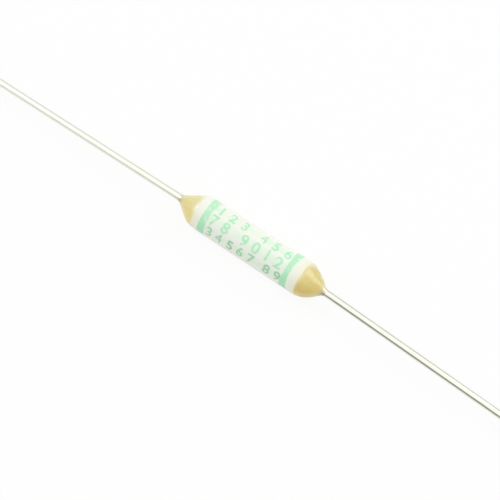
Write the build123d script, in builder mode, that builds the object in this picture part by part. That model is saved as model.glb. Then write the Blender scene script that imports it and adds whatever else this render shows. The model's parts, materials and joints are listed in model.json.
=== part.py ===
from build123d import *
import math
import os

# Axial thermal fuse.  A fusible alloy link joins two wire leads inside a ceramic tube,
# and a resin seal closes each end of the tube round its lead.
# X runs along the tube, Z is up, and the origin is on the surface that the fuse lies on,
# below the middle of the tube.  Lengths are in millimetres and angles in degrees.

# Ceramic tube
tube_length = 9.0
tube_diameter = 2.5
bore_diameter = 1.5
rim_round = 0.18  # outer edge of each end
mouth_chamfer = 0.08  # edge of the bore at each end

# Leads: tinned wire, upset into a disc at the inner end and sheared at the tip
wire_diameter = 0.53
head_diameter = 1.2
head_thickness = 0.2
head_flare = 0.1  # cone left behind the head by upsetting
wire_stub = 0.3  # from the longer seal to the corner of the bend
bend_radius = 12.0
lead_run = 28.0  # straight wire from the bend's corner to the tip
tip_chamfer = 0.04
left_swing_angle = 0.0  # sideways turn of each lead at its bend, towards -Y
right_swing_angle = 1.15

# Fusible alloy link, welded to the two heads
link_length = 3.5
link_diameter = 0.6
weld_flare = 0.09  # cone of weld metal on each head

# Flux cast round the link
flux_end_diameter = 1.1
flux_middle_diameter = 1.34

# Resin seals
plug_depth = 1.55  # resin inside the bore, from the end of the tube
plug_meniscus = 0.1  # hollow of the plug's inner face
seal_film = 0.025  # resin over the tube's rim
tip_film = 0.02  # resin left on the wire at the tip of the dome
left_lap = 0.05  # resin on the barrel, past the rounded rim
right_lap = 0.12
left_dome_length = 1.54
right_dome_length = 1.5
left_shoulder_slope = 20.0  # where the dome leaves the rim
right_shoulder_slope = 16.0
left_shoulder_pull = 0.72  # how far the dome keeps that slope: its curve's first handle
right_shoulder_pull = 1.04
left_tip_pull = 0.19  # how slowly it runs out along the wire: its curve's last handle
right_tip_pull = 0.21

# Printed rings
ink_thickness = 0.015
band_width = 0.55
left_band_inset = 0.98  # from the end of the tube to the ring's middle
right_band_inset = 1.19

# Places that follow from the sizes
LEFT, RIGHT = -1, 1
tube_radius = tube_diameter / 2
bore_radius = bore_diameter / 2
wire_radius = wire_diameter / 2
half_tube = tube_length / 2
half_link = link_length / 2
axis_height = tube_radius + max(seal_film, ink_thickness)
bend_corner = half_tube + max(left_dome_length, right_dome_length) + wire_stub
droop = math.asin((axis_height - wire_radius) / lead_run)  # so that each tip touches down


def profile_plane(side):
    """Plane for a revolved profile: its x runs from the middle out to one end, its y is the radius."""
    return Plane(origin=(0, 0, axis_height), x_dir=(side, 0, 0), z_dir=(0, -side, 0))


def axial_plane(side, distance):
    """Plane across the tube's axis, facing outwards."""
    return Plane(origin=(side * distance, 0, axis_height), z_dir=(side, 0, 0))


def tube_axis():
    return Axis((0, 0, axis_height), (1, 0, 0))


def make_tube():
    """Extruded ring with rounded rims and a small chamfer at each mouth of the bore."""
    with BuildPart() as tube:
        with BuildSketch(axial_plane(RIGHT, 0)):
            Circle(tube_radius)
            Circle(bore_radius, mode=Mode.SUBTRACT)
        extrude(amount=half_tube, both=True)
        end_edges = tube.edges().filter_by(GeomType.CIRCLE)
        fillet(end_edges.filter_by(lambda edge: edge.radius > bore_radius), radius=rim_round)
        mouths = tube.edges().filter_by(GeomType.CIRCLE).filter_by(
            lambda edge: math.isclose(edge.radius, bore_radius)
        )
        chamfer(mouths, length=mouth_chamfer)
    return tube.part


def make_lead(side, swing):
    """Wire swept along its straight stub, bend and run, with the upset disc at its inner end."""
    turn = math.radians(swing)
    run_direction = Vector(
        side * math.cos(droop) * math.cos(turn),
        -math.cos(droop) * math.sin(turn),
        -math.sin(droop),
    )
    inner_end = Vector(side * half_link, 0, axis_height)
    corner = Vector(side * bend_corner, 0, axis_height)
    tip = corner + run_direction * lead_run
    with BuildPart() as lead:
        with BuildLine():
            FilletPolyline(inner_end, corner, tip, radius=bend_radius)
        with BuildSketch(axial_plane(side, half_link)):
            Circle(wire_radius)
        sweep()
        tip_face = lead.faces().filter_by(GeomType.PLANE).sort_by(Axis.X)[0 if side == LEFT else -1]
        chamfer(tip_face.edges(), length=tip_chamfer)
        with BuildSketch(axial_plane(side, half_link)):
            Circle(head_diameter / 2)
        extrude(amount=head_thickness)
        neck_x = side * (half_link + head_thickness)
        neck = lead.edges().filter_by(GeomType.CIRCLE).filter_by(
            lambda edge: math.isclose(edge.radius, wire_radius)
            and math.isclose(edge.center().X, neck_x, abs_tol=1e-6)
        )
        chamfer(neck, length=head_flare)
    return lead.part


def make_link():
    """Alloy rod between the heads, with a cone of weld metal spreading onto each of them."""
    link_radius = link_diameter / 2
    with BuildPart() as link:
        with BuildSketch(profile_plane(RIGHT)):
            with BuildLine():
                Polyline(
                    (0, 0),
                    (half_link, 0),
                    (half_link, link_radius + weld_flare),
                    (half_link - weld_flare, link_radius),
                    (0, link_radius),
                    close=True,
                )
            make_face()
        revolve(axis=tube_axis())
        mirror(about=Plane.YZ)
    return link.part


def make_flux(link):
    """Barrel-shaped jacket of flux between the heads, cast round the link."""
    with BuildPart() as flux:
        with BuildSketch(profile_plane(RIGHT)):
            with BuildLine():
                Polyline(
                    (-half_link, flux_end_diameter / 2),
                    (-half_link, 0),
                    (half_link, 0),
                    (half_link, flux_end_diameter / 2),
                )
                ThreePointArc(
                    (half_link, flux_end_diameter / 2),
                    (0, flux_middle_diameter / 2),
                    (-half_link, flux_end_diameter / 2),
                )
            make_face()
        revolve(axis=tube_axis())
        add(link, mode=Mode.SUBTRACT)
    return flux.part


def make_seal(side, lap, dome_length, shoulder_slope, shoulder_pull, tip_pull, tube, lead):
    """Resin plug, lip and dome turned as one profile, then cut where the tube and wire fill it."""
    film_radius = rim_round + seal_film
    rim_centre = Vector(half_tube - rim_round, tube_radius - rim_round)
    shoulder = rim_centre + Vector(0, film_radius).rotate(Axis.Z, -shoulder_slope)
    flank = Vector(1, 0).rotate(Axis.Z, -shoulder_slope)
    lip_edge = rim_centre.X - lap
    dome_tip = Vector(half_tube + dome_length, wire_radius + tip_film)
    plug_end = half_tube - plug_depth
    plug_hollow = Vector(plug_end + plug_meniscus, (bore_radius + wire_radius) / 2)
    with BuildPart() as seal:
        with BuildSketch(profile_plane(side)):
            with BuildLine():
                ThreePointArc((plug_end, wire_radius), plug_hollow, (plug_end, bore_radius))
                Polyline(
                    (plug_end, bore_radius),
                    (lip_edge, bore_radius),
                    (lip_edge, tube_radius + seal_film),
                    (rim_centre.X, tube_radius + seal_film),
                )
                CenterArc(rim_centre, film_radius, 90, -shoulder_slope)
                Bezier(
                    shoulder,
                    shoulder + flank * shoulder_pull,
                    dome_tip - Vector(tip_pull, 0),
                    dome_tip,
                )
                Polyline(dome_tip, (dome_tip.X, 0), (plug_end, 0), (plug_end, wire_radius))
            make_face()
        revolve(axis=tube_axis())
        add(tube, mode=Mode.SUBTRACT)
        add(lead, mode=Mode.SUBTRACT)
    return seal.part


def make_band(side, inset):
    """Ring of ink printed round the barrel."""
    with BuildPart() as band:
        with BuildSketch(axial_plane(side, half_tube - inset - band_width / 2)):
            Circle(tube_radius + ink_thickness)
            Circle(tube_radius, mode=Mode.SUBTRACT)
        extrude(amount=band_width)
    return band.part


ceramic_tube = make_tube()
lead_left = make_lead(LEFT, left_swing_angle)
lead_right = make_lead(RIGHT, right_swing_angle)
fusible_link = make_link()
pieces = {
    "ceramic_tube": ceramic_tube,
    "lead_left": lead_left,
    "lead_right": lead_right,
    "fusible_link": fusible_link,
    "flux_jacket": make_flux(fusible_link),
    "seal_left": make_seal(
        LEFT,
        left_lap,
        left_dome_length,
        left_shoulder_slope,
        left_shoulder_pull,
        left_tip_pull,
        ceramic_tube,
        lead_left,
    ),
    "seal_right": make_seal(
        RIGHT,
        right_lap,
        right_dome_length,
        right_shoulder_slope,
        right_shoulder_pull,
        right_tip_pull,
        ceramic_tube,
        lead_right,
    ),
    "band_left": make_band(LEFT, left_band_inset),
    "band_right": make_band(RIGHT, right_band_inset),
}

os.makedirs("parts", exist_ok=True)
for name, piece in pieces.items():
    piece.label = name
    export_step(piece, f"parts/{name}.step")
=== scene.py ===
import json
import math
import random
from typing import NamedTuple

import bmesh
import bpy
from mathutils import Matrix, Vector, noise


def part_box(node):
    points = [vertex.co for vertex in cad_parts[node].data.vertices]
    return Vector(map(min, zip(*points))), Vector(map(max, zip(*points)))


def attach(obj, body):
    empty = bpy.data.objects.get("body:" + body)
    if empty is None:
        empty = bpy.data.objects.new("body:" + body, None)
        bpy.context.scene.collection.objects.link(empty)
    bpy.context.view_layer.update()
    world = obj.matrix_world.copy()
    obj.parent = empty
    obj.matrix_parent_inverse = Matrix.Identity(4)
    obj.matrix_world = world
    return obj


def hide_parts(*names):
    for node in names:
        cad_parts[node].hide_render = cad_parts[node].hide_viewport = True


bl_info = {
    "name": "Axial Thermal Fuse",
    "version": (1, 0, 0),
    "blender": (4, 5, 0),
    "location": "3D View > Sidebar > Thermal Fuse",
    "description": "Models a ceramic thermal fuse with resin seals, printed rings and wire leads",
    "category": "Add Mesh",
}

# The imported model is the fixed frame: X runs along the tube, Z is up, the floor is at zero.
# Lengths are in metres.
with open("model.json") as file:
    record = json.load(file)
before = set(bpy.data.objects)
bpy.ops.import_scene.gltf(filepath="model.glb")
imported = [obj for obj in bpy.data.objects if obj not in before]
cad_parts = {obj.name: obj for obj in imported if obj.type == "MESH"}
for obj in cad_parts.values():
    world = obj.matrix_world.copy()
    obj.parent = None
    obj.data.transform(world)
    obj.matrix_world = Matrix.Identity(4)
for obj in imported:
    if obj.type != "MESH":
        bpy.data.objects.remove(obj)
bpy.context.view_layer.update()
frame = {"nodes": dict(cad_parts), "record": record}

MM = 0.001
LEFT, RIGHT = -1, 1
SIDE_NAMES = {LEFT: "left", RIGHT: "right"}
TUBE_LOW, TUBE_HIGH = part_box("ceramic_tube")
AXIS_HEIGHT = (TUBE_LOW.z + TUBE_HIGH.z) / 2
TUBE_RADIUS = (TUBE_HIGH.z - TUBE_LOW.z) / 2
HALF_TUBE = TUBE_HIGH.x
SINK = 0.003 * MM  # how far a piece's hidden side goes into what carries it, so that no gap shows
NEARLY = 0.001 * MM  # places closer than this count as one


# ---------------------------------------------------------------- sizes and colours to change


def length_property(name, description, default):
    return bpy.props.FloatProperty(
        name=name, description=description, default=default, precision=6, unit="LENGTH"
    )


def length_pair_property(name, description, default):
    return bpy.props.FloatVectorProperty(
        name=name, description=description, default=default, size=2, precision=6, unit="LENGTH"
    )


def colour_property(name, description, default):
    return bpy.props.FloatVectorProperty(
        name=name, description=description, default=default, size=3, subtype="COLOR"
    )


class FuseSizes(bpy.types.PropertyGroup):
    """Sizes of the pieces that the frame's boxes don't give."""

    facets: bpy.props.IntProperty(
        name="Facets round the tube",
        description="Number of flat sides that make each round form",
        default=144,
        min=24,
    )
    bore_radius: length_property("Bore radius", "Inner radius of the ceramic tube", 0.75 * MM)
    rim_round: length_property(
        "Rim rounding", "Radius on the outer edge of each end of the tube", 0.18 * MM
    )
    mouth_chamfer: length_property(
        "Mouth chamfer", "Chamfer on the edge of the bore at each end", 0.08 * MM
    )
    bend_radius: length_property(
        "Bend radius", "Radius of the slight bend where each lead turns down to the floor", 12 * MM
    )
    head_radius: length_property(
        "Head radius", "Radius of the disc upset on the inner end of each lead", 0.6 * MM
    )
    head_thickness: length_property("Head thickness", "Thickness of that disc", 0.2 * MM)
    head_flare: length_property("Head flare", "Cone behind the disc", 0.1 * MM)
    tip_chamfer: length_property("Tip chamfer", "Worn edge of each lead's sheared tip", 0.04 * MM)
    ink_thickness: length_property(
        "Ink thickness", "Height of the printed ink above the ceramic", 0.012 * MM
    )
    tip_film: length_property(
        "Resin on the wire",
        "Thickness of the resin where the dome runs out along the wire",
        0.02 * MM,
    )
    plug_meniscus: length_property("Plug meniscus", "Hollow of the plug's inner face", 0.1 * MM)
    shoulder_slope: bpy.props.FloatVectorProperty(
        name="Shoulder slope",
        description="Angle at which each dome leaves the rim, left and right",
        default=(math.radians(20), math.radians(16)),
        size=2,
        subtype="EULER",
    )
    shoulder_pull: length_pair_property(
        "Shoulder pull", "How far each dome keeps that slope, left and right", (0.72 * MM, 1.04 * MM)
    )
    tip_pull: length_pair_property(
        "Tip pull",
        "How slowly each dome runs out along the wire, left and right",
        (0.19 * MM, 0.21 * MM),
    )


class FuseFinishes(bpy.types.PropertyGroup):
    """Colours of the surfaces."""

    ceramic: colour_property("Ceramic", "Fired white ceramic of the tube", (0.90, 0.925, 0.83))
    resin_left: colour_property("Left resin", "Resin of the left seal", (0.85, 0.745, 0.29))
    resin_right: colour_property(
        "Right resin",
        "Resin of the right seal, cast a little deeper in colour",
        (0.73, 0.59, 0.185),
    )
    ink: colour_property("Ink", "Green ink of the rings and digits", (0.45, 0.86, 0.55))
    tin: colour_property("Tin", "Tinned surface of the leads", (0.88, 0.88, 0.78))
    copper: colour_property(
        "Copper", "Wire core that shows at the sheared tips", (0.85, 0.45, 0.28)
    )
    alloy: colour_property("Fusible alloy", "Link inside the tube", (0.55, 0.55, 0.56))
    flux: colour_property("Flux", "Flux cast round the link", (0.62, 0.38, 0.12))


class FuseStage(bpy.types.PropertyGroup):
    """Camera, lamps and floor."""

    azimuth: bpy.props.FloatProperty(
        name="Camera azimuth",
        description="Direction of the camera round the fuse",
        default=math.radians(35.05),
        subtype="ANGLE",
    )
    elevation: bpy.props.FloatProperty(
        name="Camera elevation",
        description="Height of the camera above the horizon",
        default=math.radians(69.5),
        subtype="ANGLE",
    )
    distance: length_property(
        "Camera distance", "Distance from the camera to the middle of the tube", 80 * MM
    )
    view_width: length_property(
        "View width", "Width of what the camera sees at that distance", 34.25 * MM
    )
    aim: length_pair_property(
        "Aim",
        "How far right of the tube's middle, and above it, the camera aims",
        (-0.142 * MM, -0.366 * MM),
    )
    floor_size: length_property("Floor size", "Width of the pale floor", 1.6)
    daylight: bpy.props.FloatProperty(
        name="Surrounding light",
        description="Level of the soft light from all round",
        default=0.66,
        min=0.0,
    )


# ---------------------------------------------------------------- modelling helpers


def deselect_all():
    bpy.ops.object.select_all(action="DESELECT")


def settle(name):
    """Name the newest object and put its place into its mesh."""
    piece = bpy.context.object
    piece.name = name
    piece.data.name = name
    bpy.ops.object.transform_apply(location=True, rotation=True, scale=True)
    return piece


def pick(piece, kind, test):
    """In edit mode, select the vertices, edges or faces that pass the test, and nothing else."""
    bpy.ops.mesh.select_mode(type=kind)
    bpy.ops.mesh.select_all(action="DESELECT")
    shape = bmesh.from_edit_mesh(piece.data)
    elements = {"VERT": shape.verts, "EDGE": shape.edges, "FACE": shape.faces}[kind]
    for element in elements:
        if test(element):
            element.select_set(True)
    shape.select_flush_mode()
    bmesh.update_edit_mesh(piece.data)


def open_edges(piece):
    """In edit mode, select the edges that only one face uses."""
    pick(piece, "EDGE", lambda edge: edge.is_boundary)


def distance_from_axis(point):
    return math.hypot(point.y, point.z - AXIS_HEIGHT)


def smooth_step(value):
    value = min(max(value, 0.0), 1.0)
    return value * value * (3 - 2 * value)


def apply_modifier(piece, kind, **settings):
    modifier = piece.modifiers.new(kind.title(), kind)
    for name, value in settings.items():
        setattr(modifier, name, value)
    bpy.context.view_layer.objects.active = piece
    bpy.ops.object.modifier_apply(modifier=modifier.name)


def face_outwards(piece):
    bpy.context.view_layer.objects.active = piece
    bpy.ops.object.mode_set(mode="EDIT")
    bpy.ops.mesh.select_all(action="SELECT")
    bpy.ops.mesh.normals_make_consistent(inside=False)
    bpy.ops.object.mode_set(mode="OBJECT")


def smooth_by_angle(piece, degrees):
    deselect_all()
    piece.select_set(True)
    bpy.context.view_layer.objects.active = piece
    bpy.ops.object.shade_smooth_by_angle(angle=math.radians(degrees))


def turn_profile(name, profile, facets):
    """Turn a closed profile of (x, radius) points about the tube's axis, one ring after another."""
    x, radius = profile[0]
    deselect_all()
    bpy.ops.mesh.primitive_circle_add(
        vertices=facets,
        radius=radius,
        fill_type="NOTHING",
        location=(x, 0, AXIS_HEIGHT),
        rotation=(0, math.pi / 2, 0),
    )
    piece = settle(name)
    bpy.ops.object.mode_set(mode="EDIT")
    bpy.ops.mesh.select_all(action="SELECT")
    for next_x, next_radius in profile[1:]:
        bpy.ops.mesh.extrude_region_move(TRANSFORM_OT_translate={"value": (next_x - x, 0, 0)})
        growth = next_radius / radius
        bpy.ops.transform.resize(
            value=(1, growth, growth), center_override=(next_x, 0, AXIS_HEIGHT)
        )
        x, radius = next_x, next_radius
    open_edges(piece)
    bpy.ops.mesh.bridge_edge_loops()
    bpy.ops.object.mode_set(mode="OBJECT")
    face_outwards(piece)
    return piece


def finish_piece(piece, material):
    """Give a finished piece its material, and let it ride on the fuse's one body."""
    piece.data.materials.clear()
    piece.data.materials.append(material)
    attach(piece, "root")


# ---------------------------------------------------------------- node helpers
# In these, owner is the material or world that the node goes into.


def feed(owner, socket, value):
    """Set a socket to a plain value, or link another node's output to it."""
    if isinstance(value, bpy.types.NodeSocket):
        owner.node_tree.links.new(value, socket)
    else:
        socket.default_value = value


def connect(owner, node, **inputs):
    """Feed a node's inputs, which are given by name."""
    for name, value in inputs.items():
        feed(owner, node.inputs[name.replace("_", " ")], value)


def put(owner, kind, settings=None, **inputs):
    """Add a node. Each input takes a plain value or another node's output."""
    node = owner.node_tree.nodes.new(kind)
    for name, value in (settings or {}).items():
        setattr(node, name, value)
    connect(owner, node, **inputs)
    return node


def clear_nodes(owner):
    owner.use_nodes = True
    owner.node_tree.nodes.clear()


def new_material(name):
    """Empty node material with a Principled surface. Returns the material and its shader node."""
    material = bpy.data.materials.new(name)
    clear_nodes(material)
    shader = put(material, "ShaderNodeBsdfPrincipled")
    put(material, "ShaderNodeOutputMaterial", Surface=shader.outputs["BSDF"])
    return material, shader


def place(owner, stretch=(1, 1, 1)):
    """Object coordinates, centred on the tube's axis and stretched."""
    mapping = put(
        owner,
        "ShaderNodeMapping",
        Vector=put(owner, "ShaderNodeTexCoord").outputs["Object"],
        Location=(0, 0, -AXIS_HEIGHT * stretch[2]),
        Scale=stretch,
    )
    return mapping.outputs["Vector"]


def axes_of(owner, vector):
    return put(owner, "ShaderNodeSeparateXYZ", Vector=vector).outputs


def grain(owner, where, size, detail=3.0, roughness=0.5):
    """Noise whose features are about that size."""
    inputs = {"Vector": where, "Scale": 1 / size, "Detail": detail, "Roughness": roughness}
    return put(owner, "ShaderNodeTexNoise", **inputs).outputs["Fac"]


def remap(owner, value, low, high, new_low, new_high):
    """The value carried smoothly from one range to the other, and held beyond both ends."""
    node = put(
        owner,
        "ShaderNodeMapRange",
        {"interpolation_type": "SMOOTHSTEP"},
        Value=value,
        From_Min=low,
        From_Max=high,
        To_Min=new_low,
        To_Max=new_high,
    )
    return node.outputs["Result"]


def speckle(owner, where, size, radius):
    """1 in small round spots, about one in each cell of that size, and 0 elsewhere."""
    cells = put(owner, "ShaderNodeTexVoronoi", Vector=where, Scale=1 / size, Randomness=1.0)
    return remap(owner, cells.outputs["Distance"], radius, radius * 0.5, 0.0, 1.0)


def reckon(owner, operation, first, second=0.0):
    node = put(owner, "ShaderNodeMath", {"operation": operation})
    feed(owner, node.inputs[0], first)
    feed(owner, node.inputs[1], second)
    return node.outputs["Value"]


def total(owner, first, *others):
    for other in others:
        first = reckon(owner, "ADD", first, other)
    return first


def product(owner, first, *others):
    for other in others:
        first = reckon(owner, "MULTIPLY", first, other)
    return first


def shade_between(owner, share, first, second):
    """Colour that goes from the first to the second as share goes from 0 to 1."""
    node = put(owner, "ShaderNodeMix", {"data_type": "RGBA"})
    for place_in_node, value in ((0, share), (6, first), (7, second)):
        feed(owner, node.inputs[place_in_node], value)
    return node.outputs[2]


def mix_shaders(owner, share, first, second):
    """Shader that goes from the first to the second as share goes from 0 to 1."""
    node = put(owner, "ShaderNodeMixShader", Fac=share)
    feed(owner, node.inputs[1], first)
    feed(owner, node.inputs[2], second)
    return node.outputs["Shader"]


def relief(owner, height, depth, under=None):
    """Bump of that depth, on top of another bump if one is given."""
    node = put(owner, "ShaderNodeBump", Height=height, Distance=depth)
    if under is not None:
        feed(owner, node.inputs["Normal"], under)
    return node.outputs["Normal"]


def tinted(colour, *gains):
    """RGBA of a colour, with its red, green and blue each multiplied by a gain of its own."""
    return tuple(min(channel * gain, 1.0) for channel, gain in zip(colour, gains)) + (1.0,)


def solid(colour, strength=1.0):
    """RGBA of a colour, lighter or darker by strength."""
    return tinted(colour, strength, strength, strength)


# ---------------------------------------------------------------- finishes

PINHOLE_DIRT = (0.5, 0.46, 0.38, 1)
THIN_RESIN = (0.94, 0.93, 0.77, 1)  # the white ceramic seen through the edge of the resin
# thick ink on the digits; on the rings also painted shade on their near side
THICK_INK_AND_SHADE = (0.36, 0.52, 0.36, 1)
PIT_TARNISH = (0.5, 0.48, 0.42, 1)


def printed_field(material, where):
    """1 along the rows that the stamp has rolled over the barrel, and 0 between and beyond them."""
    axes = axes_of(material, where)
    first, middle, last = (math.radians(row.angle) for row in PRINT_ROWS)
    waves = 4 * math.pi / (last - first)  # two whole waves from the first row to the last
    turn = reckon(material, "ARCTAN2", product(material, axes["Y"], -1.0), axes["Z"])
    turn = reckon(material, "SUBTRACT", turn, middle)
    crests = reckon(material, "COSINE", product(material, turn, waves))
    round_tube = reckon(material, "ABSOLUTE", turn)
    along_tube = reckon(material, "ABSOLUTE", axes["X"])
    return product(
        material,
        remap(material, crests, -0.9, 0.3, 0.0, 1.0),
        remap(material, round_tube, last - middle, 1.4 * (last - middle), 1.0, 0.0),
        remap(material, along_tube, 3.2 * MM, 3.6 * MM, 1.0, 0.0),
    )


def ceramic_finish(colour, stain, ink):
    """Fired ceramic: faint cloudy tone, fine grain and scattered pinholes under a soft gloss.

    The stamp has left a haze of ink along its rows, a little more of it on the right half, and has
    smeared it beside the left ring. The resin has stained the right end. The near side of the left
    end is tinted the same way, more faintly, as painted warm shade.
    """
    material, shader = new_material("fired_ceramic")
    where = place(material)
    axes = axes_of(material, where)
    along = axes["X"]
    clouds = grain(material, where, 1.4 * MM, detail=2)
    base = shade_between(material, clouds, solid(colour, 0.975), solid(colour, 1.02))

    # the right end is stained by the resin; the near side of the left end gets the same tint as
    # painted warm shade
    right_end = remap(material, along, HALF_TUBE - 1.0 * MM, HALF_TUBE - 0.2 * MM, 0.0, 0.27)
    left_end = remap(material, along, 0.9 * MM - HALF_TUBE, 0.3 * MM - HALF_TUBE, 0.0, 1.0)
    painted_warm_shade_side = remap(material, axes["Y"], -1.2 * MM, 0.1 * MM, 0.18, 0.0)
    soak_and_warm_shade = total(material, right_end, product(material, left_end, painted_warm_shade_side))
    base = shade_between(material, soak_and_warm_shade, base, solid(stain, 1.3))

    patches = grain(material, where, 0.5 * MM, detail=2)
    ring_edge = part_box("band_left")[1].x
    haze = total(
        material,
        remap(material, patches, 0.3, 0.7, 0.02, 0.26),
        remap(material, along, 0.2 * MM, 1.6 * MM, 0.0, 0.1),
        remap(material, along, ring_edge, ring_edge + 0.35 * MM, 0.35, 0.0),
    )
    haze = product(material, haze, printed_field(material, where))
    base = shade_between(material, haze, base, solid(ink, 1.1))

    pinholes = speckle(material, where, 0.55 * MM, 0.055)
    base = shade_between(material, product(material, pinholes, 0.45), base, PINHOLE_DIRT)
    grain_height = grain(material, where, 0.05 * MM, detail=4, roughness=0.6)
    bump = relief(material, grain_height, 0.0012 * MM)
    bump = relief(material, grain(material, where, 0.9 * MM, detail=1), 0.004 * MM, bump)
    bump = relief(material, reckon(material, "SUBTRACT", 1.0, pinholes), 0.006 * MM, bump)
    connect(
        material,
        shader,
        Base_Color=base,
        Roughness=remap(material, grain_height, 0.3, 0.7, 0.3, 0.42),
        IOR=1.5,
        Normal=bump,
    )
    return material


class Resin(NamedTuple):
    """How deep the colour of one seal's resin is where it lies thin, and how light its near side is
    painted.
    """

    thin_start: float  # from the end of the tube outwards
    thin_end: float
    thin_share: float  # how much of the white ceramic shows through
    thin_far: float  # how much further out it lies thin on the far side than on top
    thin_near: float  # the same for the near side
    # painted light: how much lighter the near side's colour is made, below 1 darker
    painted_near_gain: float  # how much lighter its near side is
    wire_share: float  # how much of the wire shows through at the dome's tip


RESINS = {
    LEFT: Resin(-0.26 * MM, 0.26 * MM, 0.94, 0.15 * MM, -0.2 * MM, 0.96, 0.6),
    RIGHT: Resin(-0.45 * MM, 0.08 * MM, 0.6, 0.25 * MM, -0.15 * MM, 1.01, 0.6),
}


def resin_finish(side, colour, tin):
    """Cast resin: translucent, paler where it lies thin on the rim, with a few fine bubbles.

    Its colour is painted warmer and deeper towards the near side and paler towards the far side, as
    painted shade and sheen. The wire shows through the tip of the dome, with painted shade below it.
    """
    resin = RESINS[side]
    material, shader = new_material(f"resin_{SIDE_NAMES[side]}")
    where = place(material, (side, 1, 1))
    axes = axes_of(material, where)
    outward = axes["X"]

    def along_dome(start, end, first, last):
        return remap(material, outward, HALF_TUBE + start, HALF_TUBE + end, first, last)

    clouds = grain(material, where, 0.6 * MM, detail=3)
    # painted shade and sheen: the colour runs warmer and deeper towards the near side, paler and
    # bluer towards the far side
    tone = total(material, clouds, product(material, axes["Y"], 0.3 / TUBE_RADIUS))
    tone = remap(material, tone, 0.15, 0.8, 0.0, 1.0)
    near = tinted(colour, *(gain * resin.painted_near_gain for gain in (1.02, 0.97, 0.88)))
    base = shade_between(material, tone, near, tinted(colour, 0.94, 1.02, 1.2))
    bubbles = speckle(material, where, 0.22 * MM, 0.1)
    base = shade_between(material, product(material, bubbles, 0.35), base, solid(colour, 1.35))

    patches = grain(material, where, 0.9 * MM, detail=2)
    reach = total(material, outward, remap(material, patches, 0.25, 0.75, -0.09 * MM, 0.09 * MM))
    # the pale thin edge reaches further out on the far side: partly resin that ran thin there,
    # partly a painted pale highlight
    for edge, extra in ((TUBE_RADIUS, resin.thin_far), (-TUBE_RADIUS, resin.thin_near)):
        further = remap(material, axes["Y"], 0.0, edge, 0.0, extra)
        reach = reckon(material, "SUBTRACT", reach, further)
    thin_start, thin_end = HALF_TUBE + resin.thin_start, HALF_TUBE + resin.thin_end
    thin = remap(material, reach, thin_start, thin_end, resin.thin_share, 0.0)
    base = shade_between(material, thin, base, THIN_RESIN)

    # painted shade: the wire seen through the dome's tip is darker below it
    painted_shade_under_wire = remap(material, axes["Y"], -0.25 * MM, 0.05 * MM, 0.8, 0.0)
    wire_tint_with_painted_shade = shade_between(material, painted_shade_under_wire, solid(tin, 0.9), solid(tin, 0.4))
    at_wire = along_dome(1.05 * MM, 1.4 * MM, 0.0, resin.wire_share)
    base = shade_between(material, at_wire, base, wire_tint_with_painted_shade)

    bump = relief(material, grain(material, where, 0.5 * MM, detail=1), 0.012 * MM)
    connect(
        material,
        shader,
        Base_Color=base,
        Metallic=along_dome(1.25 * MM, 1.5 * MM, 0.0, 0.8),
        Roughness=0.27,
        IOR=1.53,
        Specular_IOR_Level=0.8,
        Sheen_Weight=0.85,
        Sheen_Roughness=0.4,
        Subsurface_Weight=product(
            material,
            along_dome(0.08 * MM, 0.5 * MM, 0.0, 0.6),
            along_dome(0.8 * MM, 1.25 * MM, 1.0, 0.0),
        ),
        Subsurface_Radius=(1.0, 0.8, 0.4),
        Subsurface_Scale=0.3 * MM,
        Normal=relief(material, bubbles, 0.002 * MM, bump),
    )
    return material


def ink_finish(colour, ceramic):
    """Stamped ink: thin and uneven, so that the ceramic shows through it here and there.

    Where its load is high it is darker, which on the rings is painted shade on their near side.
    """
    material, shader = new_material("stamped_ink")
    where = place(material)
    coverage = put(material, "ShaderNodeAttribute", {"attribute_name": "ink_load_and_shade"}).outputs["Fac"]
    # a high load darkens the ink, which on the rings is painted shade
    pooled_and_shaded = remap(material, coverage, 1.0, 1.6, 0.0, 0.9)
    base = shade_between(material, pooled_and_shaded, solid(colour), THICK_INK_AND_SHADE)
    patches = grain(material, where, 0.28 * MM, detail=3)
    starved = total(
        material,
        remap(material, patches, 0.42, 0.72, 0.0, 0.4),
        reckon(material, "SUBTRACT", 1.0, coverage),
    )
    starved = remap(material, starved, 0.0, 0.85, 0.0, 0.85)
    base = shade_between(material, starved, base, solid(ceramic))
    fine = grain(material, where, 0.04 * MM, detail=3)
    connect(
        material,
        shader,
        Base_Color=base,
        Roughness=remap(material, fine, 0.3, 0.7, 0.42, 0.58),
        IOR=1.48,
        Normal=relief(material, fine, 0.002 * MM),
    )
    return material


def tin_finish(colour):
    """Tinned wire: bright, drawn lines along it, fine pits, and patches of thicker tin."""
    material, shader = new_material("tinned_wire")
    lines = grain(material, place(material, (0.03, 1, 1)), 0.05 * MM, detail=3, roughness=0.6)
    patches = grain(material, place(material, (0.3, 1, 1)), 0.5 * MM, detail=2)
    base = shade_between(material, patches, solid(colour, 0.95), solid(colour, 1.03))
    pits = speckle(material, place(material), 0.3 * MM, 0.07)
    base = shade_between(material, product(material, pits, 0.4), base, PIT_TARNISH)
    connect(
        material,
        shader,
        Base_Color=base,
        Metallic=1.0,
        Roughness=remap(material, lines, 0.3, 0.7, 0.12, 0.2),
        Normal=relief(material, patches, 0.004 * MM, relief(material, lines, 0.004 * MM)),
    )
    return material


def copper_finish(colour):
    """Sheared copper: fine parallel drag marks."""
    material, shader = new_material("sheared_copper")
    marks = grain(material, place(material, (1, 0.15, 1)), 0.02 * MM, detail=2)
    connect(
        material,
        shader,
        Base_Color=shade_between(material, marks, solid(colour, 0.8), solid(colour)),
        Metallic=1.0,
        Roughness=0.35,
        Normal=relief(material, marks, 0.002 * MM),
    )
    return material


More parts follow.
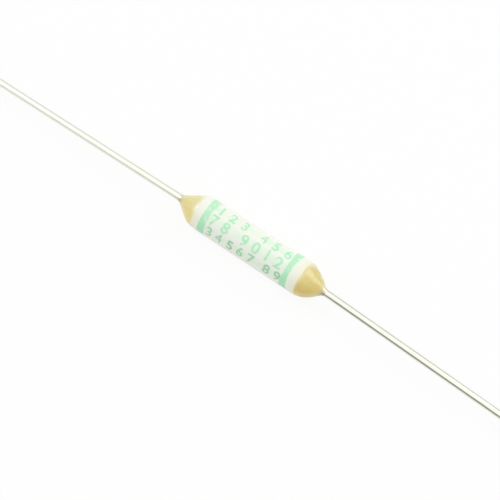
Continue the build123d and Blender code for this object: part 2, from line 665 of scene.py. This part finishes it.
def alloy_finish(colour):
    """Cast low-melting alloy: grey, frosted by its crystals."""
    material, shader = new_material("cast_alloy")
    where = place(material)
    cells = put(material, "ShaderNodeTexVoronoi", Vector=where, Scale=1 / (0.08 * MM))
    crystals = put(material, "ShaderNodeRGBToBW", Color=cells.outputs["Color"]).outputs["Val"]
    frost = grain(material, where, 0.03 * MM)
    connect(
        material,
        shader,
        Base_Color=shade_between(material, crystals, solid(colour, 0.85), solid(colour, 1.1)),
        Metallic=1.0,
        Roughness=remap(material, frost, 0.3, 0.7, 0.38, 0.55),
        Normal=relief(material, frost, 0.002 * MM),
    )
    return material


def flux_finish(colour):
    """Cast flux: amber, glassy, with clouds and bubbles."""
    material, shader = new_material("cast_flux")
    where = place(material)
    clouds = grain(material, where, 0.4 * MM, detail=4)
    base = shade_between(material, clouds, solid(colour, 0.75), solid(colour, 1.2))
    bubbles = speckle(material, where, 0.15 * MM, 0.12)
    connect(
        material,
        shader,
        Base_Color=shade_between(
            material, product(material, bubbles, 0.5), base, solid(colour, 1.5)
        ),
        Roughness=0.2,
        Subsurface_Weight=0.3,
        Subsurface_Radius=(1.0, 0.6, 0.25),
        Subsurface_Scale=0.2 * MM,
        Normal=relief(material, bubbles, 0.003 * MM),
    )
    return material


# ---------------------------------------------------------------- ceramic barrel

RIM_SEGMENTS = 10


def on_end_circle(edge, radius):
    """True for an edge of the circle of that radius at either end of the tube."""
    ends = [vertex.co for vertex in edge.verts]
    return ends[0].x * ends[1].x > 0 and all(
        abs(abs(end.x) - HALF_TUBE) < NEARLY and abs(distance_from_axis(end) - radius) < NEARLY
        for end in ends
    )


def make_barrel(sizes):
    """Cylinder with its ends inset and bridged into a bore, and its edges rounded and chamfered."""
    deselect_all()
    bpy.ops.mesh.primitive_cylinder_add(
        vertices=sizes.facets,
        radius=TUBE_RADIUS,
        depth=2 * HALF_TUBE,
        location=(0, 0, AXIS_HEIGHT),
        rotation=(0, math.pi / 2, 0),
    )
    barrel = settle("ceramic_barrel")
    bpy.ops.object.mode_set(mode="EDIT")
    pick(barrel, "FACE", lambda face: abs(face.normal.x) > 0.9)
    bpy.ops.mesh.inset(thickness=TUBE_RADIUS - sizes.bore_radius)
    bpy.ops.mesh.delete(type="FACE")
    open_edges(barrel)
    bpy.ops.mesh.bridge_edge_loops()
    pick(barrel, "EDGE", lambda edge: on_end_circle(edge, TUBE_RADIUS))
    bpy.ops.mesh.bevel(offset=sizes.rim_round, segments=RIM_SEGMENTS, affect="EDGES")
    pick(barrel, "EDGE", lambda edge: on_end_circle(edge, sizes.bore_radius))
    bpy.ops.mesh.bevel(offset=sizes.mouth_chamfer, segments=1, affect="EDGES")
    bpy.ops.object.mode_set(mode="OBJECT")
    face_outwards(barrel)
    smooth_by_angle(barrel, 35)
    return barrel


# ---------------------------------------------------------------- leads

WIRE_FACETS = 64
HEAD_EDGE_ROUND = 0.03 * MM
STUB_STEPS = 6  # lengths that the straight stub, the bend and the run are drawn out in
BEND_STEPS = 6
RUN_STEPS = 32
TINNED_RIM = 0.012 * MM  # width of the tin round the bare core at a sheared tip


def wire_facts(side):
    """End of the full-width wire, outward direction, radius and bend corner of one lead.

    They come from the lead's mount in the record.
    """
    name = f"lead_tip_{SIDE_NAMES[side]}"
    mount = next(entry for entry in frame["record"]["mounts"] if entry["name"] == name)
    direction = Vector(mount["axis"]).normalized()
    middle = Vector(mount["pos_m"])
    shaft_end = middle + direction * mount["dims"]["length_mm"] * MM / 2
    corner = middle + direction * (AXIS_HEIGHT - middle.z) / direction.z
    return shaft_end, direction, mount["dims"]["r_mm"] * MM, corner


def draw_out(move, growth=1.0, centre=None):
    """Extrude the selected face, and grow or shrink it about a centre."""
    bpy.ops.mesh.extrude_region_move(TRANSFORM_OT_translate={"value": tuple(move)})
    if centre is not None:
        bpy.ops.transform.resize(value=(growth, growth, growth), center_override=tuple(centre))


def make_lead(side, sizes):
    """Wire drawn out from its upset head, spun round its bend and sheared off at the tip."""
    shaft_end, direction, wire_radius, corner = wire_facts(side)
    low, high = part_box(f"lead_{SIDE_NAMES[side]}")
    outward = Vector((side, 0, 0))
    start = Vector((high.x if side == LEFT else low.x, 0, AXIS_HEIGHT))
    head_face = sizes.head_radius - HEAD_EDGE_ROUND
    deselect_all()
    bpy.ops.mesh.primitive_circle_add(
        vertices=WIRE_FACETS,
        radius=head_face,
        fill_type="NGON",
        location=start,
        rotation=(0, math.pi / 2, 0),
    )
    lead = settle(f"wire_lead_{SIDE_NAMES[side]}")
    bpy.ops.object.mode_set(mode="EDIT")
    bpy.ops.mesh.select_all(action="SELECT")
    neck = sizes.head_thickness + sizes.head_flare
    head = [
        (HEAD_EDGE_ROUND, sizes.head_radius),
        (sizes.head_thickness - HEAD_EDGE_ROUND, sizes.head_radius),
        (sizes.head_thickness, head_face),
        (sizes.head_thickness, wire_radius + sizes.head_flare),
        (neck, wire_radius),
    ]
    reach, radius = 0.0, head_face
    for next_reach, next_radius in head:
        centre = start + outward * next_reach
        draw_out(outward * (next_reach - reach), growth=next_radius / radius, centre=centre)
        reach, radius = next_reach, next_radius

    turn = outward.angle(direction)
    tangent = sizes.bend_radius * math.tan(turn / 2)
    bend_start = corner - outward * tangent
    bend_end = corner + direction * tangent
    hinge = direction.cross(outward).normalized()
    stub = (bend_start - start).length - neck
    for _ in range(STUB_STEPS):
        draw_out(outward * stub / STUB_STEPS)
    bpy.ops.mesh.spin(
        steps=BEND_STEPS,
        angle=turn,
        center=bend_start + outward.cross(hinge) * sizes.bend_radius,
        axis=hinge,
    )
    for _ in range(RUN_STEPS):
        draw_out((shaft_end - bend_end) / RUN_STEPS)
    draw_out(
        direction * sizes.tip_chamfer,
        growth=1 - sizes.tip_chamfer / wire_radius,
        centre=shaft_end + direction * sizes.tip_chamfer,
    )
    bpy.ops.mesh.inset(thickness=TINNED_RIM)
    bpy.ops.object.mode_set(mode="OBJECT")
    face_outwards(lead)
    smooth_by_angle(lead, 35)
    return lead


def bare_the_core(lead, side, core):
    """Give the sheared end of the wire, inside its tinned rim, the colour of its core."""
    direction = wire_facts(side)[1]
    lead.data.materials.append(core)
    tip = max(vertex.co.dot(direction) for vertex in lead.data.vertices)
    sheared = [face for face in lead.data.polygons if face.center.dot(direction) > tip - NEARLY]
    max(sheared, key=lambda face: face.area).material_index = 1


# ---------------------------------------------------------------- seals

FILM_REACH = 0.45 * MM  # how far along the barrel, from its end, the film is modelled
FILM_STEPS = 12
SHOULDER_STEPS = 5
DOME_STEPS = 34
MENISCUS_STEPS = 8
RIM_STEPS = 6
SAG_START = -0.1 * MM  # where the dome's sag sets in, from the end of the tube outwards
SAG_RISE = 0.35 * MM  # how far from there it is full
SAG_FADE = 0.6 * MM  # where it starts to die away
LUMP_HEIGHT = 0.02 * MM


class Wetting(NamedTuple):
    """How the resin of one seal lies: its edge on the ceramic, and how the dome leans.

    Directions are degrees round the axis, from the top towards +Y.
    """

    creep: float  # how far the edge reaches over the ceramic from the end, on average
    slant: float  # how much further it reaches on one side than on the other
    slant_angle: float
    waviness: float
    edge_width: float  # how gently the edge rises from the ceramic
    film: float  # thickness of the resin behind the edge
    lean: float  # how far the dome sags to one side of the wire
    lean_angle: float
    lean_end: float  # where the sag has died away, beyond the end of the tube
    seed: float


WETTING = {
    LEFT: Wetting(
        0.10 * MM, 0.02 * MM, 30, 0.03 * MM, 0.22 * MM, 0.020 * MM, 0.06 * MM, -107, 1.6 * MM, 3.1
    ),
    RIGHT: Wetting(
        0.22 * MM, 0.09 * MM, -25, 0.03 * MM, 0.10 * MM, 0.025 * MM, 0.05 * MM, -107, 1.5 * MM, 7.7
    ),
}


def arc(centre, radius, first, last, steps):
    """Points (x, radius) on an arc, its angles going from straight outwards to the tube's end."""
    for step in range(steps + 1):
        angle = first + (last - first) * step / steps
        yield centre[0] + radius * math.sin(angle), centre[1] + radius * math.cos(angle)


def bezier(points, steps):
    """Points after the first on the cubic curve that four points give."""
    for step in range(1, steps + 1):
        t = step / steps
        weights = ((1 - t) ** 3, 3 * t * (1 - t) ** 2, 3 * t * t * (1 - t), t**3)
        yield tuple(sum(w * p[k] for w, p in zip(weights, points)) for k in (0, 1))


def seal_profile(side, sizes):
    """Closed profile of a seal, as (x, radius) points.

    Film, dome and tip lie outside, then come the wire's hole, the plug and the tube's rim.
    """
    index = 0 if side == LEFT else 1
    low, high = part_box(f"seal_{SIDE_NAMES[side]}")
    tip_x, plug_x = (high.x, low.x) if side == RIGHT else (-low.x, -high.x)
    wire_radius = wire_facts(side)[2]
    slope = sizes.shoulder_slope[index]
    pull = sizes.shoulder_pull[index]
    rim = (HALF_TUBE - sizes.rim_round, TUBE_RADIUS - sizes.rim_round)
    film_start = HALF_TUBE - FILM_REACH
    outside = [
        (film_start + (rim[0] - film_start) * step / FILM_STEPS, TUBE_RADIUS - SINK)
        for step in range(FILM_STEPS)
    ]
    outside += arc(rim, sizes.rim_round - SINK, 0, slope, SHOULDER_STEPS)
    over_rim = sizes.rim_round + WETTING[side].film
    shoulder = (rim[0] + over_rim * math.sin(slope), rim[1] + over_rim * math.cos(slope))
    tip_radius = wire_radius + sizes.tip_film
    dome = (
        shoulder,
        (shoulder[0] + pull * math.cos(slope), shoulder[1] - pull * math.sin(slope)),
        (tip_x - sizes.tip_pull[index], tip_radius),
        (tip_x, tip_radius),
    )
    outside += bezier(dome, DOME_STEPS)
    hidden_wire = wire_radius - SINK
    outside.append((tip_x + 0.05 * MM, wire_radius + 0.006 * MM))
    outside.append((tip_x + 0.09 * MM, hidden_wire))

    bore = sizes.bore_radius + SINK
    middle = (hidden_wire + bore) / 2
    inside = [(HALF_TUBE, hidden_wire)]
    for step in range(MENISCUS_STEPS + 1):
        across = 2 * step / MENISCUS_STEPS - 1
        hollow = sizes.plug_meniscus * (1 - across * across)
        inside.append((plug_x + hollow, middle + (bore - middle) * across))
    inside.append((HALF_TUBE - sizes.mouth_chamfer - SINK, bore))
    inside.append((HALF_TUBE - SINK, bore + sizes.mouth_chamfer))
    inside += arc(rim, sizes.rim_round - 3 * SINK, math.pi / 2, 0, RIM_STEPS)
    return [(side * x, radius) for x, radius in outside + inside]


def settle_resin(seal, side, sizes):
    """Let the resin lie unevenly, with a wavy, slanting edge and a dome that sags a little."""
    wetting = WETTING[side]
    rim_x, rim_radius = HALF_TUBE - sizes.rim_round, TUBE_RADIUS - sizes.rim_round
    wire_radius = wire_facts(side)[2]
    dome_length = max(abs(vertex.co.x) for vertex in seal.data.vertices) - HALF_TUBE
    for vertex in seal.data.vertices:
        x, radius = abs(vertex.co.x), distance_from_axis(vertex.co)
        beyond = x - HALF_TUBE
        round_axis = math.degrees(math.atan2(vertex.co.y, vertex.co.z - AXIS_HEIGHT))
        outward = Vector((0, vertex.co.y, vertex.co.z - AXIS_HEIGHT)).normalized()
        near_rim = Vector((x - min(x, rim_x), radius - rim_radius))
        on_film = beyond < 0 and abs(near_rim.length - sizes.rim_round + SINK) < SINK
        on_dome = beyond > 0 or near_rim.length > sizes.rim_round
        if on_film and radius > rim_radius:
            wave = noise.noise(outward * 2.2 + Vector((wetting.seed, 0, 0)))
            wave += 0.5 * noise.noise(outward * 6 + Vector((0, wetting.seed, 0)))
            creep = wetting.creep + wetting.waviness * wave
            creep += wetting.slant * math.cos(math.radians(round_axis - wetting.slant_angle))
            wet = smooth_step((beyond + creep) / wetting.edge_width + 0.5)
            lift = (wetting.film + SINK) * wet
            direction = near_rim.normalized()
            vertex.co.x += side * direction.x * lift
            vertex.co += outward * direction.y * lift
        elif on_dome and radius > (rim_radius if beyond < 0 else wire_radius + SINK):
            share = min(max(beyond / dome_length, 0), 1)
            lump = noise.noise(outward * 1.6 + Vector((share * 2, wetting.seed, 0)))
            lump *= LUMP_HEIGHT * math.sin(math.pi * share) ** 1.5
            sag = smooth_step((beyond - SAG_START) / SAG_RISE)
            sag *= 1 - smooth_step((beyond - SAG_FADE) / (wetting.lean_end - SAG_FADE))
            sag *= wetting.lean * math.cos(math.radians(round_axis - wetting.lean_angle))
            vertex.co += outward * (sag + lump)


def make_seal(side, sizes):
    seal = turn_profile(f"resin_seal_{SIDE_NAMES[side]}", seal_profile(side, sizes), sizes.facets)
    settle_resin(seal, side, sizes)
    smooth_by_angle(seal, 50)
    return seal


# ---------------------------------------------------------------- printing


class PrintRow(NamedTuple):
    """One row of plain digits along the barrel."""

    text: str
    height: float
    ink: float  # 1 is an even print, more is thicker and darker ink
    angle: float  # degrees round the axis from the top, towards -Y
    start: float  # place of the first digit along the tube
    pitch: float  # from one digit to the next
    gap: float  # more room at each space


PRINT_ROWS = (
    PrintRow("123 456", 0.82 * MM, 1.0, -22.5, -2.78 * MM, 0.98 * MM, 0.56 * MM),
    PrintRow("78 9012", 0.88 * MM, 0.97, 19.8, -2.88 * MM, 0.95 * MM, 0.62 * MM),
    PrintRow("34567 89", 0.84 * MM, 1.3, 62.7, -2.86 * MM, 0.865 * MM, 0.46 * MM),
)
DIGIT_WIDTH = 0.92  # of the font's own width
CLOSED_CORNERS = "4"  # digits whose sharp inner corners would close up if the ink spread
LOAD_CHANGE = 0.06  # how much the ink changes from digit to digit
DIGIT_SHIFT = 0.03 * MM  # how far a digit may stand from its place along the row

# Measures of a digit while its text has size 1
CAP_HEIGHT = 0.70
INK_SPREAD = 0.02  # how far the ink spreads beyond its outline
DIGIT_MIDDLE = 0.041  # how far its middle is above the origin of the text
STRIP_HEIGHT = 0.09  # height of the strips it is cut into, so that it bends round the barrel

# Where the rings are rubbed, and how much narrower that makes each at its lower and higher edge
# along X
RUBBED_SIDE = Vector((0, -0.29, 0.96))
RING_WEAR = {LEFT: (0.03 * MM, 0.06 * MM), RIGHT: (0.03 * MM, 0.16 * MM)}
RING_CUTS = 6  # across the width of a ring
LENGTHWISE = 400  # how much faster a ring's unevenness changes along the tube than round it


def add_ink_load(piece, loads):
    """Keep how thick the ink is at each vertex; on the rings it also carries painted shade."""
    load = piece.data.attributes.new("ink_load_and_shade", "FLOAT", "POINT")
    load.data.foreach_set("value", loads)


def thicken_ink(piece, sizes):
    apply_modifier(piece, "SOLIDIFY", thickness=sizes.ink_thickness + SINK, offset=-1)
    face_outwards(piece)
    smooth_by_angle(piece, 40)


def make_ring(side, sizes):
    """Sleeve of ink round the barrel, with slightly uneven edges."""
    low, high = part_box(f"band_{SIDE_NAMES[side]}")
    middle = (low.x + high.x) / 2
    deselect_all()
    bpy.ops.mesh.primitive_cylinder_add(
        vertices=2 * sizes.facets,
        radius=TUBE_RADIUS + sizes.ink_thickness,
        depth=high.x - low.x,
        end_fill_type="NOTHING",
        location=(middle, 0, AXIS_HEIGHT),
        rotation=(0, math.pi / 2, 0),
    )
    ring = settle(f"ink_ring_{SIDE_NAMES[side]}")
    bpy.ops.object.mode_set(mode="EDIT")
    pick(ring, "EDGE", lambda edge: not edge.is_boundary)
    bpy.ops.mesh.subdivide(number_cuts=RING_CUTS)
    bpy.ops.object.mode_set(mode="OBJECT")
    loads = []
    for vertex in ring.data.vertices:
        outward = Vector((vertex.co.x * LENGTHWISE, vertex.co.y, vertex.co.z - AXIS_HEIGHT))
        outward /= TUBE_RADIUS
        ragged = 0.022 * noise.noise(outward * 1.3) + 0.012 * noise.noise(outward * 7)
        to_edge = (vertex.co.x - middle) / (high.x - low.x) * 2
        vertex.co.x += ragged * MM * abs(to_edge)
        facing = max(outward.y * RUBBED_SIDE.y + outward.z * RUBBED_SIDE.z, 0)
        vertex.co.x -= RING_WEAR[side][0 if to_edge < 0 else 1] * to_edge * facing**2
        # painted shade: the load rises towards the near side, so the ring's ink is darker and greyer
        # there; it falls where the ring faces RUBBED_SIDE, so the ink is paler there
        loads.append(0.95 - 0.2 * outward.y - 0.16 * facing**8)
    add_ink_load(ring, loads)
    thicken_ink(ring, sizes)
    return ring


def make_digit(character, load):
    """Flat digit of size 1, cut into narrow strips, ready to be wrapped."""
    deselect_all()
    bpy.ops.object.text_add(location=(0, 0, 0))
    text = bpy.context.object.data
    text.body = character
    text.align_x = "CENTER"
    text.align_y = "CENTER"
    text.offset = 0 if character in CLOSED_CORNERS else INK_SPREAD
    text.resolution_u = 8
    bpy.ops.object.convert(target="MESH")
    digit = bpy.context.object
    bpy.ops.object.mode_set(mode="EDIT")
    for strip in range(-4, 6):
        bpy.ops.mesh.select_all(action="SELECT")
        bpy.ops.mesh.bisect(plane_co=(0, strip * STRIP_HEIGHT, 0), plane_no=(0, 1, 0))
    bpy.ops.mesh.select_all(action="SELECT")
    bpy.ops.mesh.remove_doubles(threshold=0.002)
    bpy.ops.mesh.dissolve_degenerate(threshold=0.003)
    bpy.ops.object.mode_set(mode="OBJECT")
    add_ink_load(digit, [load] * len(digit.data.vertices))
    return digit


def make_row(name, row, barrel, sizes, chance):
    """One row of digits, wrapped on the barrel and given the ink's thickness."""
    turn = math.radians(row.angle)
    outward = Vector((0, -math.sin(turn), math.cos(turn)))
    upward = Vector((0, math.cos(turn), math.sin(turn)))
    scale = row.height / CAP_HEIGHT
    x = row.start
    digits = []
    for character in row.text:
        if character == " ":
            x += row.gap
            continue
        digit = make_digit(character, row.ink + chance.uniform(-LOAD_CHANGE, LOAD_CHANGE))
        digit.scale = (scale * DIGIT_WIDTH, scale, scale)
        digit.rotation_euler = (turn, 0, 0)
        digit.location = (
            Vector((x + chance.uniform(-1, 1) * DIGIT_SHIFT, 0, AXIS_HEIGHT))
            + outward * (TUBE_RADIUS + 0.1 * MM)
            - upward * DIGIT_MIDDLE * scale
        )
        bpy.ops.object.transform_apply(location=True, rotation=True, scale=True)
        digits.append(digit)
        x += row.pitch
    deselect_all()
    for digit in digits:
        digit.select_set(True)
    bpy.context.view_layer.objects.active = digits[0]
    bpy.ops.object.join()
    printed = settle(name)
    apply_modifier(
        printed,
        "SHRINKWRAP",
        target=barrel,
        wrap_method="NEAREST_SURFACEPOINT",
        wrap_mode="ABOVE_SURFACE",
        offset=sizes.ink_thickness,
    )
    thicken_ink(printed, sizes)
    return printed


# ---------------------------------------------------------------- stage

WHITE = (1, 1, 1, 1)
MIRROR_ONLY_DARK = (0.2, 0.2, 0.19, 1)
DIM_WALL = (0.1, 0.1, 0.1, 1)
PAPER = (0.92, 0.92, 0.91, 1)
MIRROR_ONLY_DARK_PAPER = (0.22, 0.22, 0.21, 1)
SHADED_PAPER = (0.6, 0.6, 0.6, 1)


def make_floor(stage):
    """Pale floor that reads as plain white and keeps the fuse's own soft shadow.

    The wires and the glossy resin mirror it as it is lit, and for them alone a dark patch is painted
    on its near side, a painted reflection.
    Beneath the barrel it gives no white of its own and its paper is darker, which deepens the
    contact shadow there.
    """
    deselect_all()
    bpy.ops.mesh.primitive_plane_add(size=stage.floor_size, location=(0, 0, -0.02 * MM))
    floor = settle("floor")
    material = bpy.data.materials.new("white_floor")
    clear_nodes(material)
    rays = put(material, "ShaderNodeLightPath").outputs
    spot = axes_of(material, put(material, "ShaderNodeTexCoord").outputs["Object"])
    # painted reflection: only mirrored rays see this dark patch on the near side; the eye sees plain
    # white there
    mirror_only_dark = product(
        material,
        remap(material, spot["Y"], -5.0 * MM, -1.8 * MM, 1.0, 0.0),
        remap(material, spot["X"], -13 * MM, 3 * MM, 0.15, 0.84),
        rays["Is Glossy Ray"],
    )

    along = reckon(material, "ABSOLUTE", spot["X"])
    past_end = reckon(material, "SUBTRACT", along, HALF_TUBE - 0.2 * MM)
    taper = product(material, reckon(material, "MAXIMUM", past_end, 0.0), 0.75)
    across = total(material, reckon(material, "ABSOLUTE", spot["Y"]), taper)
    beneath = remap(material, across, 0.84 * MM, 1.02 * MM, 1.0, 0.0)

    seen = reckon(material, "MAXIMUM", rays["Is Camera Ray"], rays["Is Transmission Ray"])
    white_share = total(
        material,
        product(material, seen, 0.9, reckon(material, "SUBTRACT", 1.0, beneath)),
        product(material, rays["Is Glossy Ray"], 0.3),
    )
    tone = shade_between(material, mirror_only_dark, PAPER, MIRROR_ONLY_DARK_PAPER)
    tone = shade_between(material, beneath, tone, SHADED_PAPER)
    paper = put(material, "ShaderNodeBsdfDiffuse", Color=tone)
    glow = shade_between(material, mirror_only_dark, WHITE, MIRROR_ONLY_DARK)
    white = put(material, "ShaderNodeEmission", Color=glow, Strength=1.0)
    lit = mix_shaders(material, white_share, paper.outputs["BSDF"], white.outputs["Emission"])
    put(material, "ShaderNodeOutputMaterial", Surface=lit)
    floor.data.materials.append(material)


class Lamp(NamedTuple):
    """One soft lamp, placed by its direction from the fuse."""

    name: str
    direction: tuple
    distance: float
    along: tuple  # direction of its long side
    length: float
    width: float
    power: float


LAMPS = (
    Lamp("key_lamp", (0.62, 0.56, 0.55), 0.35, (0.48, 0.01, -0.68), 0.38, 0.2, 0.5),
    Lamp("side_lamp", (-0.663, -0.101, 0.738), 0.35, (0, 1, 0), 0.15, 0.15, 0.24),
)


def make_lamp(lamp):
    towards = Vector(lamp.direction).normalized()
    across = towards.cross(Vector(lamp.along)).normalized()
    bpy.ops.object.light_add(type="AREA", location=towards * lamp.distance)
    light = bpy.context.object
    light.name = lamp.name
    light.data.shape = "RECTANGLE"
    light.data.size = lamp.length
    light.data.size_y = lamp.width
    light.data.energy = lamp.power
    turn = Matrix((across.cross(towards), across, towards)).transposed()
    light.rotation_euler = turn.to_euler()


def make_surroundings(stage):
    """White backdrop to the eye, even soft light on the fuse, and dimmer walls to mirror."""
    world = bpy.data.worlds.new("studio")
    clear_nodes(world)
    rays = put(world, "ShaderNodeLightPath").outputs
    axes = axes_of(world, put(world, "ShaderNodeTexCoord").outputs["Generated"])
    mirror_only_dark = product(
        world,
        remap(world, axes["Z"], 0.3, 0.8, 0.9, 0.0),
        remap(world, axes["Y"], -0.5, -0.1, 1.0, 0.0),
        remap(world, axes["X"], -0.4, -0.08, 0.0, 1.0),
        remap(world, axes["X"], 0.15, 0.4, 1.0, 0.0),
    )
    far_wall = product(
        world,
        remap(world, axes["Z"], 0.1, 0.8, 0.42, 0.0),
        remap(world, axes["X"], -0.35, -0.1, 1.0, 1.5),
    )
    mirrored = shade_between(world, far_wall, WHITE, DIM_WALL)
    mirrored = shade_between(world, mirror_only_dark, mirrored, MIRROR_ONLY_DARK)
    near_fill = remap(world, axes["Y"], -0.9, 0.3, 1.12, 1.0)

    def background(colour, strength):
        node = put(world, "ShaderNodeBackground", Color=colour, Strength=strength)
        return node.outputs["Background"]

    ambient = background(WHITE, product(world, near_fill, stage.daylight))
    mirror = background(mirrored, 1.14)
    backdrop = background(WHITE, 1.0)
    glossy = reckon(world, "MAXIMUM", rays["Is Glossy Ray"], rays["Is Transmission Ray"])
    lit = mix_shaders(world, glossy, ambient, mirror)
    shown = mix_shaders(world, rays["Is Camera Ray"], lit, backdrop)
    put(world, "ShaderNodeOutputWorld", Surface=shown)
    bpy.context.scene.world = world


def make_camera(stage):
    """Camera above the near side, level, aimed beside the tube's middle."""
    around, height = stage.azimuth, stage.elevation
    right = Vector((math.cos(around), math.sin(around), 0))
    forward = Vector((-math.sin(around), math.cos(around), 0))
    back = Vector((0, 0, math.sin(height))) - forward * math.cos(height)
    up = back.cross(right)
    target = Vector((0, 0, AXIS_HEIGHT)) + right * stage.aim[0] + up * stage.aim[1]
    bpy.ops.object.camera_add(location=target + back * stage.distance)
    camera = bpy.context.object
    camera.name = "camera"
    camera.rotation_euler = back.to_track_quat("Z", "Y").to_euler()
    camera.data.lens = camera.data.sensor_width * stage.distance / stage.view_width
    camera.data.clip_start = 5 * MM
    camera.data.clip_end = 5.0
    bpy.context.scene.camera = camera


# ---------------------------------------------------------------- operators


class FUSE_OT_barrel(bpy.types.Operator):
    """Model the ceramic barrel with its rounded rims and its bore"""

    bl_idname = "fuse.barrel"
    bl_label = "Ceramic barrel"

    def execute(self, context):
        finishes = context.scene.fuse_finishes
        barrel = make_barrel(context.scene.fuse_sizes)
        ceramic = ceramic_finish(finishes.ceramic, finishes.resin_right, finishes.ink)
        finish_piece(barrel, ceramic)
        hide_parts("ceramic_tube")
        return {"FINISHED"}


class FUSE_OT_leads(bpy.types.Operator):
    """Draw out the two tinned wire leads"""

    bl_idname = "fuse.leads"
    bl_label = "Wire leads"

    def execute(self, context):
        finishes = context.scene.fuse_finishes
        tin = tin_finish(finishes.tin)
        copper = copper_finish(finishes.copper)
        for side in (LEFT, RIGHT):
            lead = make_lead(side, context.scene.fuse_sizes)
            finish_piece(lead, tin)
            bare_the_core(lead, side, copper)
            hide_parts(f"lead_{SIDE_NAMES[side]}")
        return {"FINISHED"}


class FUSE_OT_seals(bpy.types.Operator):
    """Cast the resin seals round the leads"""

    bl_idname = "fuse.seals"
    bl_label = "Resin seals"

    def execute(self, context):
        finishes = context.scene.fuse_finishes
        colours = {LEFT: finishes.resin_left, RIGHT: finishes.resin_right}
        for side in (LEFT, RIGHT):
            seal = make_seal(side, context.scene.fuse_sizes)
            resin = resin_finish(side, colours[side], finishes.tin)
            finish_piece(seal, resin)
            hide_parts(f"seal_{SIDE_NAMES[side]}")
        return {"FINISHED"}


class FUSE_OT_printing(bpy.types.Operator):
    """Print the two rings and the rows of plain digits on the barrel"""

    bl_idname = "fuse.printing"
    bl_label = "Printed rings and digits"

    def execute(self, context):
        sizes = context.scene.fuse_sizes
        finishes = context.scene.fuse_finishes
        ink = ink_finish(finishes.ink, finishes.ceramic)
        barrel = bpy.data.objects["ceramic_barrel"]
        for side in (LEFT, RIGHT):
            ring = make_ring(side, sizes)
            finish_piece(ring, ink)
            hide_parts(f"band_{SIDE_NAMES[side]}")
        chance = random.Random(12)
        for number, row in enumerate(PRINT_ROWS, start=1):
            printed = make_row(f"printed_row_{number}", row, barrel, sizes, chance)
            finish_piece(printed, ink)
        return {"FINISHED"}


class FUSE_OT_inner_pieces(bpy.types.Operator):
    """Finish the alloy link and the flux that lie inside the barrel"""

    bl_idname = "fuse.inner_pieces"
    bl_label = "Link and flux"

    def execute(self, context):
        finishes = context.scene.fuse_finishes
        for node, material in (
            ("fusible_link", alloy_finish(finishes.alloy)),
            ("flux_jacket", flux_finish(finishes.flux)),
        ):
            frame["nodes"][node].material_slots[0].material = material
        return {"FINISHED"}


class FUSE_OT_stage(bpy.types.Operator):
    """Set up the floor, the lamps, the surroundings and the camera"""

    bl_idname = "fuse.stage"
    bl_label = "Stage"

    def execute(self, context):
        stage = context.scene.fuse_stage
        make_floor(stage)
        for lamp in LAMPS:
            make_lamp(lamp)
        make_surroundings(stage)
        make_camera(stage)
        context.scene.view_settings.view_transform = "Standard"
        return {"FINISHED"}


class FUSE_PT_sidebar(bpy.types.Panel):
    """Sizes, finishes and steps of the thermal fuse"""

    bl_label = "Thermal Fuse"
    bl_idname = "FUSE_PT_sidebar"
    bl_space_type = "VIEW_3D"
    bl_region_type = "UI"
    bl_category = "Thermal Fuse"

    def draw(self, context):
        for group_name in GROUPS:
            group = getattr(context.scene, group_name)
            column = self.layout.column()
            for name in group.bl_rna.properties.keys():
                if name not in ("rna_type", "name"):
                    column.prop(group, name)
        for operator in STEPS:
            self.layout.operator(operator.bl_idname)


STEPS = (
    FUSE_OT_barrel,
    FUSE_OT_leads,
    FUSE_OT_seals,
    FUSE_OT_printing,
    FUSE_OT_inner_pieces,
    FUSE_OT_stage,
)
GROUPS = {"fuse_sizes": FuseSizes, "fuse_finishes": FuseFinishes, "fuse_stage": FuseStage}


def register():
    for group in GROUPS.values():
        bpy.utils.register_class(group)
    for operator in STEPS:
        bpy.utils.register_class(operator)
    bpy.utils.register_class(FUSE_PT_sidebar)
    for name, group in GROUPS.items():
        setattr(bpy.types.Scene, name, bpy.props.PointerProperty(type=group))


def unregister():
    for name in GROUPS:
        delattr(bpy.types.Scene, name)
    bpy.utils.unregister_class(FUSE_PT_sidebar)
    for operator in reversed(STEPS):
        bpy.utils.unregister_class(operator)
    for group in GROUPS.values():
        bpy.utils.unregister_class(group)


def main():
    register()
    bpy.ops.fuse.barrel()
    bpy.ops.fuse.leads()
    bpy.ops.fuse.seals()
    bpy.ops.fuse.printing()
    bpy.ops.fuse.inner_pieces()
    bpy.ops.fuse.stage()


if __name__ == "__main__":
    main()
